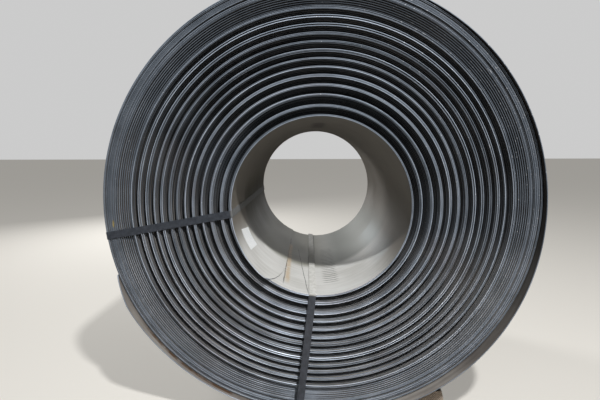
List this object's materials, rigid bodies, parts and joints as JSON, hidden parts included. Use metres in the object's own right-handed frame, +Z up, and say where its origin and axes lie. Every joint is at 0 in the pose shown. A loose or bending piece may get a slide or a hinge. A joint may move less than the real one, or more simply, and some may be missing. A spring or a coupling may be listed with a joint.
{
  "type": "steel strip coil",
  "caption": "Coil of hot-rolled steel strip lying with its eye horizontal, ridged ends, steel straps through the eye, timber chock at one flank.",
  "frame": {"origin": "on the floor under the coil, midway along its length", "axes": "+Z up, Y along the eye with the pictured end towards -Y, +X to the right as seen from that end"},
  "size_m": [1.8765, 1.3391, 1.88],
  "materials": {
    "hot_rolled_steel": "satin mill scale, slit edges bright",
    "strapping_steel": "dark waxed strapping",
    "timber": "rough sawn, weathered"
  },
  "bodies": {
    "root": {"coil": "hot_rolled_steel", "strap_left": "strapping_steel", "strap_bottom": "strapping_steel", "chock": "timber"}
  },
  "joints": []
}
